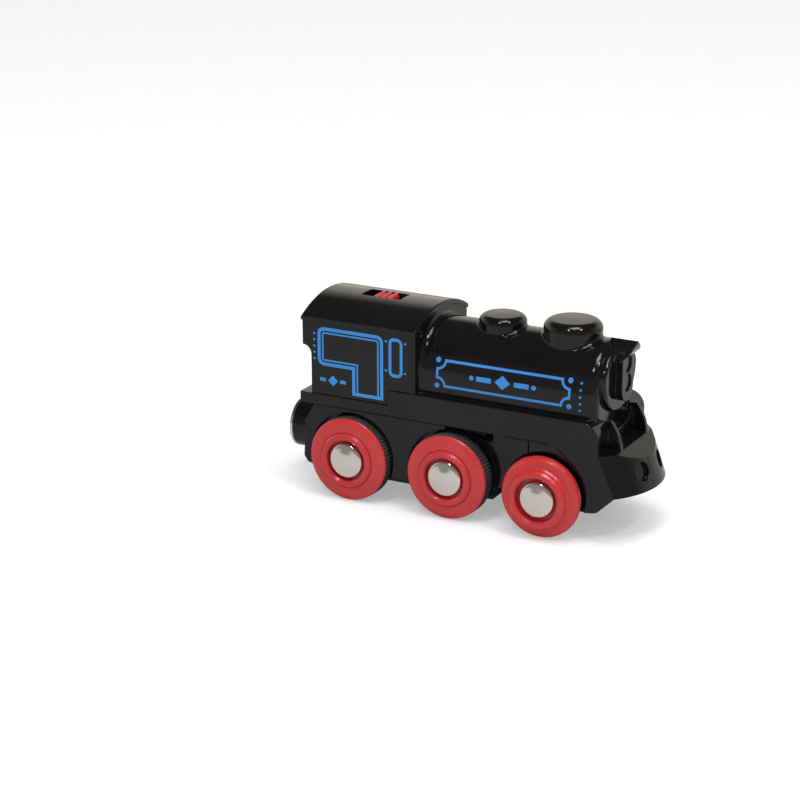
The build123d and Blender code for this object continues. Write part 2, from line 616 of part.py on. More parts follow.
with BuildPart() as chassis_frame:
    # core box that holds motor and gears
    extrude(
        outline_face(
            (
                (-34.75, CHASSIS_TOP_Z), (-37.15, 17.2), (-37.65, 8.2), (-36.45, 6.6),
                (-35.6, CHASSIS_BASE_Z), (10.4, CHASSIS_BASE_Z), (10.4, 18.5), (-0.6, 20.2),
                (-0.6, CHASSIS_TOP_Z),
            ),
            CORE_Y,
        ),
        amount=2 * CORE_Y,
    )
    # side panels with round wheel wells
    with BuildSketch(Plane.XZ.offset(-SIDE_Y)):
        with BuildLine():
            Polyline(
                (-34.75, CHASSIS_TOP_Z), (-37.15, 17.2), (-37.65, 8.2), (-36.6, 6.75),
                (-35.4, 6.5), (-4.0, 6.5), (-1.0, 20.0), (-1.0, CHASSIS_TOP_Z), close=True,
            )
        make_face()
        with Locations(REAR, MIDDLE):
            Circle(WELL_R, mode=Mode.SUBTRACT)
    extrude(amount=2 * SIDE_Y)
    # front panel over the front wheel
    with BuildSketch(Plane.XZ.offset(-SIDE_Y)):
        with BuildLine():
            Line((13.75, CHASSIS_TOP_Z), (SEAM_TURN_X, CHASSIS_TOP_Z))
            ThreePointArc((SEAM_TURN_X, CHASSIS_TOP_Z), (27.3, 19.9), (30.55, 16.4))
            Polyline((30.55, 16.4), FRONT, (15.2, 14.8), (13.75, CHASSIS_TOP_Z))
        make_face()
        with Locations(FRONT):
            Circle(ARCH_R, mode=Mode.SUBTRACT)
    extrude(amount=2 * SIDE_Y)
    # walls behind the front wheels
    extrude(disc_face(FRONT, BACKING_R, CORE_Y), amount=2 * CORE_Y)
    slab(10, 16, -CORE_Y, CORE_Y, 8, CHASSIS_TOP_Z)
    slab(10.5, 36, -CORE_IN_Y, CORE_IN_Y, 0, 20.2, Mode.SUBTRACT)
    slab(13, 36, -CORE_Y, CORE_Y, 0, CHASSIS_BASE_Z + 0.3, Mode.SUBTRACT)
    # upright slit in the front panel
    for side in (-1, 1):
        y_in, y_out = sorted((side * (SIDE_Y - 0.5), side * (SIDE_Y + 1)))
        slab(19.55, 19.85, y_in, y_out, 17.9, 22, Mode.SUBTRACT)
    # bridge to the front axle carrier
    slab(10.4, 31.0, -CORE_Y, CORE_Y, 20.2, CHASSIS_TOP_Z)
    slab(9.9, CARRIER_X[0] + 1, -7.6, 7.6, 14.5, 20.5)
    slab(10.4, CARRIER_X[0] + 1, -6.2, 6.2, 14, 19.0, Mode.SUBTRACT)
    slab(*CARRIER_X, -CORE_Y, CORE_Y, CHASSIS_BASE_Z + 0.3, 20.5)
    slab(CARRIER_X[0] + 1, CARRIER_X[1] - 1, -CORE_IN_Y, CORE_IN_Y, 5, 19.0, Mode.SUBTRACT)
    # inside of the core box
    slab(-33.4, 9.4, -CORE_IN_Y, CORE_IN_Y, 5, 22, Mode.SUBTRACT)
    # motor saddle
    slab(-2.6, 9.6, *SADDLE_Y, CHASSIS_BASE_Z, MOTOR[1])
    # bosses for the cover screws
    with Locations((COVER_SCREW_X[0], 0, 8.2), (COVER_SCREW_X[1], 0, 8.2)):
        Cylinder(1.9, 5.0)
    # lugs for the rear body screws
    for side in (-1, 1):
        y_in, y_out = sorted((side * 7.2, side * 9.8))
        slab(-33.6, -29.4, y_in, y_out, 19.3, CHASSIS_TOP_Z)
    # shaft and screw holes
    extrude(disc_face(MOTOR, MOTOR_R + 0.02, SADDLE_Y[1] + 0.1), amount=2.2, mode=Mode.SUBTRACT)
    extrude(disc_face(MIDDLE, 1.8, SADDLE_Y[1] + 0.1), amount=2.2, mode=Mode.SUBTRACT)
    for centre in (REAR, MIDDLE, FRONT):
        extrude(disc_face(centre, BUSH_R, SIDE_Y), amount=2 * SIDE_Y, mode=Mode.SUBTRACT)
    for boss_x, boss_y in zip(BOSS_X, BOSS_Y):
        with Locations((boss_x, boss_y, 20.5), (boss_x, -boss_y, 20.5)):
            Cylinder(1.15, 4, mode=Mode.SUBTRACT)
    for boss_x, boss_y, seat_z in zip(BOSS_X, BOSS_Y, SCREW_SEAT_Z):
        with Locations((boss_x, boss_y, seat_z - 1.5), (boss_x, -boss_y, seat_z - 1.5)):
            Cylinder(1.8, 3, mode=Mode.SUBTRACT)
    with Locations((COVER_SCREW_X[0], 0, 7.5), (COVER_SCREW_X[1], 0, 7.5)):
        Cylinder(THREAD_R, 5, mode=Mode.SUBTRACT)
    # seat for the coupler's neck
    slab(-39, NECK_X, -NECK_Y, NECK_Y, *NECK_Z, Mode.SUBTRACT)

save(chassis_frame.part, "chassis_frame")

body_screws = Compound(
    [
        screw((x, side * y, seat_z), 5.0, 1.6, THREAD_R, 1)
        for x, y, seat_z in zip(BOSS_X, BOSS_Y, SCREW_SEAT_Z)
        for side in (-1, 1)
    ]
)
save(body_screws, "body_screws")

# ---------------------------------------------------------------- gearbox cover
with BuildPart() as gearbox_cover:
    slab(-35.0, 9.6, -9.9, 9.9, 4.2, CHASSIS_BASE_Z)
    fillet(gearbox_cover.edges().group_by(Axis.Z)[0], 0.5)
    slab(-33.4, 8.4, -8.9, 8.9, 5.1, 6.0, Mode.SUBTRACT)
    with Locations((COVER_SCREW_X[0], 0, 5.1), (COVER_SCREW_X[1], 0, 5.1)):
        Cylinder(1.9, 1.2)
    with Locations((COVER_SCREW_X[0], 0, 5), (COVER_SCREW_X[1], 0, 5)):
        Cylinder(1.0, 4, mode=Mode.SUBTRACT)
    with Locations((COVER_SCREW_X[0], 0, 4.4), (COVER_SCREW_X[1], 0, 4.4)):
        Cylinder(1.8, 1.2, mode=Mode.SUBTRACT)

save(gearbox_cover.part, "gearbox_cover")

cover_screws = Compound([screw((x, 0, 5.0), 4.6, 1.6, THREAD_R, 1) for x in COVER_SCREW_X])
save(cover_screws, "cover_screws")

# ---------------------------------------------------------------- axles, bushes, wheels
with BuildPart() as bushes:
    for centre in (REAR, MIDDLE, FRONT):
        for y_high in (CORE_Y, -CORE_IN_Y):
            with BuildSketch(Plane.XZ.offset(-y_high)):
                with Locations(centre):
                    Circle(BUSH_R)
                    Circle(AXLE_R + RUN_GAP, mode=Mode.SUBTRACT)
            extrude(amount=CORE_Y - CORE_IN_Y)

save(bushes.part, "axle_bushes")


def axle(centre, half_length):
    """Plain steel axle with small end chamfers."""
    with BuildPart() as rod:
        with BuildSketch(Plane.XZ.offset(-half_length)):
            with Locations(centre):
                Circle(AXLE_R)
        extrude(amount=2 * half_length)
        chamfer(rod.edges(), 0.2)
    return rod.part


def driven_wheel(centre, side):
    """Disc wheel with a recessed band for the tyre, a raised hub ring and a cap recess."""
    face, ring = DRIVEN_FACE_Y, DRIVEN_RING_Y
    profile = (
        (AXLE_R, 11.3), (2.6, 11.3), (2.6, 12.9), (7.2, 12.9), (7.2, WHEEL_IN_Y),
        (RIM_R, WHEEL_IN_Y), (RIM_R, TYRE_OUT_Y), (9.65, TYRE_OUT_Y), (9.8, 14.95),
        (9.8, 15.25), (9.6, 15.5), (8.6, face - 0.1), (6.75, face + 0.15), (6.55, face + 0.05),
        (6.45, face + 0.45), (6.1, ring - 0.12), (5.7, ring), (5.3, ring - 0.1), (4.9, ring - 0.5),
        (4.75, 15.3), (AXLE_R, 15.3),
    )
    return turned(profile, centre, side)


def front_wheel(centre, side):
    """Plain wheel with a thick rounded rim and a taller hub ring."""
    face, ring = FRONT_FACE_Y, FRONT_RING_Y
    profile = (
        (AXLE_R, 11.3), (2.6, 11.3), (2.6, FRONT_RIM_IN_Y), (8.7, FRONT_RIM_IN_Y),
        (9.05, 13.85), (9.3, 14.2), (FRONT_WHEEL_R, 14.8), (9.35, 15.4), (9.1, 15.95),
        (8.7, 16.25), (8.0, face), (7.5, face), (7.2, face + 0.15), (6.95, face + 0.55), (6.8, ring - 0.7),
        (6.5, ring - 0.2), (6.0, ring), (5.5, ring - 0.1), (5.15, ring - 0.5),
        (5.0, 16.4), (AXLE_R, 16.4),
    )
    return turned(profile, centre, side)


def hub_cap(centre, side, base_y, cap_r, edge, rise):
    """Domed pressed cap that fills the wheel's hub recess."""
    shoulder_y, top_y = side * (base_y + edge), side * (base_y + edge + rise)
    quarter_y = shoulder_y + side * rise * sin(pi / 4)
    with BuildPart() as cap:
        with BuildSketch(Plane((centre[0], 0, centre[1]))):
            with BuildLine():
                Polyline((0, top_y), (0, side * base_y), (cap_r, side * base_y), (cap_r, shoulder_y))
                Spline(
                    (cap_r, shoulder_y), (cap_r * cos(pi / 4), quarter_y), (0, top_y),
                    tangents=((0, side), (-1, 0)),
                )
            make_face()
        revolve(axis=Axis((centre[0], 0, centre[1]), (0, 1, 0)))
    return cap.part


def tyre(centre, side):
    """Rubber ring with fine ribs across its tread."""
    y_high = max(side * WHEEL_IN_Y, side * TYRE_OUT_Y)
    ribs = []
    for k in range(2 * TYRE_RIBS):
        rib_r = WHEEL_R if k % 2 == 0 else WHEEL_R - 0.3
        turn = pi * k / TYRE_RIBS
        ribs.append((centre[0] + rib_r * sin(turn), centre[1] - rib_r * cos(turn)))
    with BuildPart() as ring:
        with BuildSketch(Plane.XZ.offset(-y_high)):
            with BuildLine():
                Polyline(*ribs, close=True)
            make_face()
            with Locations(centre):
                Circle(RIM_R, mode=Mode.SUBTRACT)
        extrude(amount=TYRE_OUT_Y - WHEEL_IN_Y)
    return ring.part


for place, centre in (("rear", REAR), ("middle", MIDDLE)):
    save(axle(centre, 15.3), f"{place}_axle")
    for hand, side in (("left", 1), ("right", -1)):
        save(driven_wheel(centre, side), f"{place}_wheel_{hand}")
        save(tyre(centre, side), f"{place}_tyre_{hand}")
        save(hub_cap(centre, side, 15.3, 4.3, 0.5, 1.5), f"{place}_hub_cap_{hand}")
save(axle(FRONT, 16.4), "front_axle")
for hand, side in (("left", 1), ("right", -1)):
    save(front_wheel(FRONT, side), f"front_wheel_{hand}")
    save(hub_cap(FRONT, side, 16.4, 4.3, 0.5, 1.5), f"front_hub_cap_{hand}")

# ---------------------------------------------------------------- gear train
for place, centre, angle in (("rear", REAR, REAR_ANGLE), ("middle", MIDDLE, MIDDLE_ANGLE)):
    with BuildPart() as axle_gear:
        extrude(
            gear_face(centre, AXLE_TEETH, angle, LAYER_1[1]), amount=LAYER_1[1] - LAYER_1[0]
        )
        extrude(disc_face(centre, 2.4, -6.2), amount=1.3)
        extrude(disc_face(centre, AXLE_R, -6.0), amount=3, mode=Mode.SUBTRACT)
    save(axle_gear.part, f"{place}_axle_gear")

hub_low, hub_high = OUTER_CHEEK[1] + 0.1, INNER_CHEEK[0] - 0.1

with BuildPart() as transfer_gear:
    extrude(
        gear_face(TRANSFER, TRANSFER_TEETH, TRANSFER_ANGLE, LAYER_1[1]),
        amount=LAYER_1[1] - LAYER_1[0],
    )
    # weight-saving holes
    with BuildSketch(Plane.XZ.offset(-LAYER_1[1])):
        with Locations(TRANSFER):
            with PolarLocations(5.6, 5):
                Circle(1.7)
    extrude(amount=2, mode=Mode.SUBTRACT)
    extrude(disc_face(TRANSFER, HUB_R, hub_high), amount=hub_high - hub_low)
    extrude(disc_face(TRANSFER, PIN_R + RUN_GAP, -3), amount=7, mode=Mode.SUBTRACT)
save(transfer_gear.part, "transfer_gear")

with BuildPart() as second_gear:
    extrude(
        gear_face(SECOND, PINION_TEETH, SECOND_PINION_ANGLE, LAYER_1[1]),
        amount=LAYER_1[1] - hub_low,
    )
    extrude(gear_face(SECOND, WHEEL_TEETH, SECOND_WHEEL_ANGLE, LAYER_2[1]), amount=1.3)
    extrude(disc_face(SECOND, HUB_R, hub_high), amount=hub_high - LAYER_1[1])
    extrude(disc_face(SECOND, PIN_R + RUN_GAP, -3), amount=7, mode=Mode.SUBTRACT)
save(second_gear.part, "second_gear")

with BuildPart() as first_gear:
    extrude(
        gear_face(FIRST, PINION_TEETH, FIRST_PINION_ANGLE, LAYER_2[1]),
        amount=LAYER_2[1] - LAYER_2[0] + 0.15,
    )
    extrude(gear_face(FIRST, WHEEL_TEETH, FIRST_WHEEL_ANGLE, LAYER_3[1]), amount=1.3)
    extrude(disc_face(FIRST, HUB_R, hub_high), amount=hub_high - LAYER_2[1])
    extrude(disc_face(FIRST, HUB_R - 0.1, LAYER_2[0] - 0.15), amount=LAYER_2[0] - 0.15 - hub_low)
    extrude(disc_face(FIRST, PIN_R + RUN_GAP, -3), amount=7, mode=Mode.SUBTRACT)
save(first_gear.part, "first_gear")

with BuildPart() as gear_pins:
    for centre in (TRANSFER, SECOND, FIRST):
        extrude(disc_face(centre, PIN_R, INNER_CHEEK[1]), amount=INNER_CHEEK[1] - OUTER_CHEEK[0])
save(gear_pins.part, "gear_pins")

# two cheeks that carry the pins, held apart by two posts
POSTS = ((7.0, 13.2), (-19.6, 27.0))
MOTOR_NOSE_R = 1.6
with BuildPart() as gearbox_frame:
    for cheek_low, cheek_high in (OUTER_CHEEK, INNER_CHEEK):
        with BuildSketch(Plane.XZ.offset(-cheek_high)):
            with Locations(TRANSFER, SECOND, FIRST, MOTOR, *POSTS):
                Circle(2.0)
            make_hull()
            with Locations(TRANSFER, SECOND, FIRST):
                Circle(PIN_R, mode=Mode.SUBTRACT)
            with Locations(MOTOR):
                Circle(MOTOR_NOSE_R, mode=Mode.SUBTRACT)
        extrude(amount=cheek_high - cheek_low)
    for post in POSTS:
        extrude(disc_face(post, 1.1, INNER_CHEEK[0]), amount=INNER_CHEEK[0] - OUTER_CHEEK[1])
save(gearbox_frame.part, "gearbox_frame")

# ---------------------------------------------------------------- motor
CAN_Y = (INNER_CHEEK[1], 7.9)
CAN_WALL = 0.5
SHAFT_R = 0.5
with BuildPart() as motor_can:
    extrude(disc_face(MOTOR, MOTOR_R, CAN_Y[1]), amount=CAN_Y[1] - CAN_Y[0])
    extrude(
        disc_face(MOTOR, MOTOR_R - CAN_WALL, CAN_Y[1]),
        amount=CAN_Y[1] - CAN_Y[0] - CAN_WALL,
        mode=Mode.SUBTRACT,
    )
    extrude(disc_face(MOTOR, 1.5, CAN_Y[0]), amount=0.6)
    extrude(disc_face(MOTOR, SHAFT_R + RUN_GAP, 0), amount=6, mode=Mode.SUBTRACT)
save(motor_can.part, "motor_can")

with BuildPart() as motor_magnets:
    with BuildSketch(Plane.XZ.offset(-6.4)):
        with Locations(MOTOR):
            Circle(MOTOR_R - CAN_WALL)
            Circle(3.3, mode=Mode.SUBTRACT)
            Rectangle(12, 3.2, mode=Mode.SUBTRACT)
    extrude(amount=8.6)
save(motor_magnets.part, "motor_magnets")

with BuildPart() as motor_armature:
    with BuildSketch(Plane.XZ.offset(-5.6)):
        with Locations(MOTOR):
            Circle(3.1)
            with PolarLocations(3.0, 3):
                Circle(0.9, mode=Mode.SUBTRACT)
            Circle(SHAFT_R, mode=Mode.SUBTRACT)
    extrude(amount=7.0)
save(motor_armature.part, "motor_armature")

with BuildPart() as motor_shaft:
    extrude(disc_face(MOTOR, SHAFT_R, 8.6), amount=14.5)
save(motor_shaft.part, "motor_shaft")

with BuildPart() as motor_pinion:
    extrude(gear_face(MOTOR, PINION_TEETH, MOTOR_ANGLE, -4.1), amount=1.6)
    extrude(disc_face(MOTOR, SHAFT_R, -4), amount=3, mode=Mode.SUBTRACT)
save(motor_pinion.part, "motor_pinion")

with BuildPart() as motor_end_cap:
    extrude(disc_face(MOTOR, MOTOR_R - CAN_WALL, 9.3), amount=2.0)
    extrude(disc_face(MOTOR, SHAFT_R + RUN_GAP, 8.8), amount=3, mode=Mode.SUBTRACT)
    # brush terminals
    for terminal_x in (-2.6, 2.6):
        x_low = MOTOR[0] + terminal_x - 0.2
        slab(x_low, x_low + 0.4, 8.2, 9.1, MOTOR[1] + 2.9, MOTOR[1] + 5.4)
save(motor_end_cap.part, "motor_end_cap")

# ---------------------------------------------------------------- cell, board, charging socket
CELL_R, CELL_LONG = 5.25, 44.5
CELL_REAR_X, CELL_Y, CELL_Z = -12.0, 3.8, 31.5
CRADLE_TOP_Z = 29.5

with BuildPart() as battery_cell:
    with BuildSketch(Plane.YZ.offset(CELL_REAR_X)):
        with Locations((CELL_Y, CELL_Z)):
            Circle(CELL_R)
    extrude(amount=CELL_LONG - 0.8)
    chamfer(battery_cell.edges(), 0.3)
    with BuildSketch(Plane.YZ.offset(CELL_REAR_X + CELL_LONG - 0.8)):
        with Locations((CELL_Y, CELL_Z)):
            Circle(1.9)
    extrude(amount=0.8)
save(battery_cell.part, "battery_cell")

for end, tab_x in (("rear", CELL_REAR_X - 0.2), ("front", CELL_REAR_X + CELL_LONG)):
    with BuildPart() as cell_tab:
        slab(tab_x, tab_x + 0.2, CELL_Y - 1.6, CELL_Y + 1.6, 26.0, CELL_Z + 1.6)
    save(cell_tab.part, f"cell_tab_{end}")

with BuildPart() as cell_cradle:
    slab(11.0, 28.0, -0.6, 7.2, CHASSIS_TOP_Z, 22.5)
    for saddle_x in (11.0, 25.5):
        slab(saddle_x, saddle_x + 2, -0.6, 8.2, CHASSIS_TOP_Z, CRADLE_TOP_Z)
    with BuildSketch(Plane.YZ.offset(10)):
        with Locations((CELL_Y, CELL_Z)):
            Circle(CELL_R)
    extrude(amount=25, mode=Mode.SUBTRACT)
save(cell_cradle.part, "cell_cradle")

with BuildPart() as circuit_board:
    slab(*BOARD_X, -10.4, 10.4, BOARD_Z, BOARD_TOP_Z)
    with Locations(*[(BOARD_SCREW[0], y, BOARD_Z) for y in BOARD_SCREW_Y]):
        Cylinder(0.8, 4, mode=Mode.SUBTRACT)
    # chips and other soldered parts
    slab(-29.0, -25.4, -2.2, 1.6, BOARD_TOP_Z, BOARD_TOP_Z + 1.2)
    slab(-26.4, -24.4, 3.4, 6.2, BOARD_TOP_Z, BOARD_TOP_Z + 0.9)
    with Locations((-28.6, 6.4, BOARD_TOP_Z + 0.3)):
        with GridLocations(1.8, 2.0, 2, 2):
            Box(1.1, 0.7, 0.6)
save(circuit_board.part, "circuit_board")

SOCKET_X = (-35.6, -30.2)
SOCKET_Z = (BOARD_TOP_Z, BOARD_TOP_Z + 2.6)
with BuildPart() as socket_shell:
    with BuildSketch(Plane.YZ.offset(SOCKET_X[0])):
        with BuildLine():
            Polyline(
                (-3.75, SOCKET_Z[1]), (3.75, SOCKET_Z[1]), (3.75, SOCKET_Z[0] + 0.8),
                (3.1, SOCKET_Z[0]), (-3.1, SOCKET_Z[0]), (-3.75, SOCKET_Z[0] + 0.8), close=True,
            )
        make_face()
        offset(amount=-0.3, mode=Mode.SUBTRACT)
    extrude(amount=SOCKET_X[1] - SOCKET_X[0])
save(socket_shell.part, "socket_shell")

with BuildPart() as socket_tongue:
    slab(SOCKET_X[1] - 1.2, SOCKET_X[1], -2.8, 2.8, SOCKET_Z[0] + 0.3, SOCKET_Z[1] - 0.3)
    slab(SOCKET_X[0] + 0.7, SOCKET_X[1] - 1, -1.9, 1.9, SOCKET_Z[1] - 1.3, SOCKET_Z[1] - 0.7)
save(socket_tongue.part, "socket_tongue")

# ---------------------------------------------------------------- coupler
CAP_X = COUPLER_FACE_X + 0.8
CUP_FRONT_X = -39.2
MAGNET_FRONT_X = -41.6
RIVET_R = 0.8
RIVET_HEAD_R, RIVET_HEAD_LONG = 1.5, 0.25

with BuildPart() as coupler_holder:
    with BuildSketch(Plane.YZ.offset(CUP_FRONT_X)):
        with Locations((0, COUPLER_Z)):
            Circle(COUPLER_R)
    extrude(amount=CAP_X - CUP_FRONT_X + 0.1)
    fillet(coupler_holder.edges().sort_by(Axis.X)[-1], 0.6)
    slab(CUP_FRONT_X - 0.5, NECK_X, -NECK_Y, NECK_Y, *NECK_Z)
    with BuildSketch(Plane.YZ.offset(MAGNET_FRONT_X)):
        with Locations((0, COUPLER_Z)):
            Circle(COUPLER_R - 0.9)
    extrude(amount=-6, mode=Mode.SUBTRACT)
    with BuildSketch(Plane.YZ.offset(MAGNET_FRONT_X)):
        with Locations((0, COUPLER_Z)):
            Circle(RIVET_R)
    extrude(amount=2.6, mode=Mode.SUBTRACT)
save(coupler_holder.part, "coupler_holder")


def coupler_disc(radius, x_low, x_high, bore):
    """Round coupler piece on the rivet's axis."""
    with BuildPart() as disc:
        with BuildSketch(Plane.YZ.offset(x_low)):
            with Locations((0, COUPLER_Z)):
                Circle(radius)
                Circle(bore, mode=Mode.SUBTRACT)
        extrude(amount=x_high - x_low)
    return disc.part


magnet = coupler_disc(COUPLER_R - 1.0, CAP_X, MAGNET_FRONT_X - 0.1, RIVET_R + RUN_GAP)
save(magnet, "coupler_magnet")

with BuildPart() as coupler_cap:
    add(coupler_disc(COUPLER_R, COUPLER_FACE_X, CAP_X, RIVET_R + RUN_GAP))
    face_edges = coupler_cap.edges().filter_by(GeomType.CIRCLE).group_by(Axis.X)[0]
    fillet(face_edges.sort_by(SortBy.RADIUS)[-1], 0.35)
    with BuildSketch(Plane.YZ.offset(COUPLER_FACE_X)):
        with Locations((0, COUPLER_Z)):
            Circle(RIVET_HEAD_R + RUN_GAP)
    extrude(amount=RIVET_HEAD_LONG + RUN_GAP, mode=Mode.SUBTRACT)
save(coupler_cap.part, "coupler_cap")

with BuildPart() as coupler_rivet:
    add(coupler_disc(RIVET_R, COUPLER_FACE_X, CUP_FRONT_X, 0.2))
    add(coupler_disc(RIVET_HEAD_R, COUPLER_FACE_X, COUPLER_FACE_X + RIVET_HEAD_LONG, 0.2))
save(coupler_rivet.part, "coupler_rivet")


# ---------------------------------------------------------------- wires
WIRE_R = 0.4


def wire(points):
    """Insulated wire along a smooth path."""
    with BuildPart() as strand:
        with BuildLine() as path:
            Spline(*points)
        with BuildSketch(Plane(path.line @ 0, z_dir=path.line % 0)):
            Circle(WIRE_R)
        sweep()
    return strand.part


routes = {
    "cell_wire_rear": ((-12.7, 3.8, 26.6), (-16, 4.2, 26.2), (-19.5, 4.2, 27.0), (-22.9, 3.0, 26.5)),
    "cell_wire_front": (
        (32.1, 2.8, 26.4), (31.0, 0.8, 25.7), (28.6, -1.1, 25.0), (25, -1.9, 24.5), (18, -2.0, 24.1),
        (10, -2.0, 23.8), (2, -2.0, 23.7), (-6, -1.8, 24.0), (-13, -1.5, 24.9), (-18, -1.2, 25.8),
        (-22.9, -1.0, 26.5),
    ),
    "motor_wire_red": (
        (7.0, 8.6, 22.6), (3, 7.4, 23.7), (-6, 6.8, 23.8), (-16, 6.4, 25.3), (-22.9, 6.4, 26.5),
    ),
    "motor_wire_black": (
        (1.8, 8.6, 22.6), (-3, 9.2, 23.2), (-10, 9.2, 23.4), (-17, 8.6, 25.2), (-22.5, 7.9, 26.5),
    ),
    "switch_wire_red": ((-24.9, -1.2, 35.3), (-25.6, -2.4, 31), (-26.2, -3.8, 28), (-26.6, -4.2, 26.5)),
    "switch_wire_black": ((-22.9, 1.2, 35.3), (-23.1, 1.0, 31), (-23.0, 1.0, 28), (-23.4, 1.2, 26.5)),
}
for name, points in routes.items():
    save(wire(points), name)
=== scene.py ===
import json
import math

import bmesh
import bpy
from mathutils import Matrix, Vector


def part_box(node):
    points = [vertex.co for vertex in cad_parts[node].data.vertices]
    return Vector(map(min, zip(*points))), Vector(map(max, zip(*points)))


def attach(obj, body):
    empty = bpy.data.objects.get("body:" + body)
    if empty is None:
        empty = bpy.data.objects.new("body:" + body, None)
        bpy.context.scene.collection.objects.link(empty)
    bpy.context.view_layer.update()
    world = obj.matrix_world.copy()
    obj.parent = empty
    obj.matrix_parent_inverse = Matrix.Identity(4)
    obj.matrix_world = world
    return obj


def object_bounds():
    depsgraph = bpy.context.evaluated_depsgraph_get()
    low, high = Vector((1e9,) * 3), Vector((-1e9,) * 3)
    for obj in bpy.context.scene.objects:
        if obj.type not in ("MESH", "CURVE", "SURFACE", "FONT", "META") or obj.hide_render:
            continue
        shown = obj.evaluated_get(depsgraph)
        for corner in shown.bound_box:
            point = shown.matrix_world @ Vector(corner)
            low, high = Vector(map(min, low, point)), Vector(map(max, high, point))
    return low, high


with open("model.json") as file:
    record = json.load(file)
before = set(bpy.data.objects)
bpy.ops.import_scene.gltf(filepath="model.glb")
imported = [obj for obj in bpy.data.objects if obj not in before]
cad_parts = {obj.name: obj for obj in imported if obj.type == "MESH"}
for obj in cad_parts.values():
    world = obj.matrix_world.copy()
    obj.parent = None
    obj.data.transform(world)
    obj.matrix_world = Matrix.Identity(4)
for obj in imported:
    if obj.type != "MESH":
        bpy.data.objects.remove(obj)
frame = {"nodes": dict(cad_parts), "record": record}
cad_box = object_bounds()
nodes = frame["nodes"]
MM = 0.001
AZIMUTH = math.radians(28.03)

# ---------------------------------------------------------------- places taken from the frame
EAVE_OVERHANG = 0.4 * MM
BOILER_INSET = 2.2 * MM
AXIS_BELOW_ROOF = 8.6 * MM
roof_low, roof_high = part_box("cab_roof")
CAB_SIDE = roof_high.y - EAVE_OVERHANG
BOILER_SIDE = roof_high.y - BOILER_INSET
BOILER_AXIS_Z = roof_low.z - AXIS_BELOW_ROOF


# ---------------------------------------------------------------- node helpers
TONE_SCALE = 90
CLOUD_SCALE = 260
BEVEL_SAMPLES = 4


def new_material(name):
    """Empty node material with a Principled shader; returns material, nodes, links, shader."""
    material = bpy.data.materials.new(name)
    material.use_nodes = True
    tree = material.node_tree
    tree.nodes.clear()
    output = tree.nodes.new("ShaderNodeOutputMaterial")
    shader = tree.nodes.new("ShaderNodeBsdfPrincipled")
    tree.links.new(shader.outputs["BSDF"], output.inputs["Surface"])
    return material, tree.nodes, tree.links, shader


def noise(tree_nodes, links, scale, detail=4.0, roughness=0.5, stretch=None):
    """Noise in object space; scale is features per metre."""
    coords = tree_nodes.new("ShaderNodeTexCoord")
    source = coords.outputs["Object"]
    if stretch:
        mapping = tree_nodes.new("ShaderNodeMapping")
        mapping.inputs["Scale"].default_value = stretch
        links.new(source, mapping.inputs["Vector"])
        source = mapping.outputs["Vector"]
    texture = tree_nodes.new("ShaderNodeTexNoise")
    texture.inputs["Scale"].default_value = scale
    texture.inputs["Detail"].default_value = detail
    texture.inputs["Roughness"].default_value = roughness
    links.new(source, texture.inputs["Vector"])
    return texture.outputs["Fac"]


def span(tree_nodes, links, value, low, high, from_low=0.3, from_high=0.7):
    """Maps a 0..1 value onto low..high."""
    node = tree_nodes.new("ShaderNodeMapRange")
    node.inputs["From Min"].default_value = from_low
    node.inputs["From Max"].default_value = from_high
    node.inputs["To Min"].default_value = low
    node.inputs["To Max"].default_value = high
    links.new(value, node.inputs["Value"])
    return node.outputs["Result"]


def two_tone(tree_nodes, links, factor, dark, light):
    """Mixes two colours by a 0..1 factor."""
    node = tree_nodes.new("ShaderNodeMix")
    node.data_type = "RGBA"
    node.inputs["A"].default_value = (*dark, 1)
    node.inputs["B"].default_value = (*light, 1)
    links.new(factor, node.inputs["Factor"])
    return node.outputs["Result"]


def surface(name, dark, light, rough, bumps, metallic=0.0, bevel=0.0, ior=1.5, stretch=None):
    """Moulded or metal surface.

    dark, light: colours mixed by a slow noise. rough: low and high roughness.
    bumps: (scale, depth in metres) pairs of fine relief. bevel: radius of softened edges.
    """
    material, tree_nodes, links, shader = new_material(name)
    slow = noise(tree_nodes, links, TONE_SCALE, 5.0, 0.6)
    tone = span(tree_nodes, links, slow, 0.0, 1.0)
    links.new(two_tone(tree_nodes, links, tone, dark, light), shader.inputs["Base Color"])
    cloud = noise(tree_nodes, links, CLOUD_SCALE, 6.0, 0.65, stretch)
    links.new(span(tree_nodes, links, cloud, *rough), shader.inputs["Roughness"])
    shader.inputs["Metallic"].default_value = metallic
    shader.inputs["IOR"].default_value = ior
    normal = None
    if bevel:
        node = tree_nodes.new("ShaderNodeBevel")
        node.samples = BEVEL_SAMPLES
        node.inputs["Radius"].default_value = bevel
        normal = node.outputs["Normal"]
    for scale, depth in bumps:
        relief = noise(tree_nodes, links, scale, 3.0, 0.5, stretch)
        bump = tree_nodes.new("ShaderNodeBump")
        bump.inputs["Distance"].default_value = depth
        links.new(relief, bump.inputs["Height"])
        if normal:
            links.new(normal, bump.inputs["Normal"])
        normal = bump.outputs["Normal"]
    if normal:
        links.new(normal, shader.inputs["Normal"])
    return material


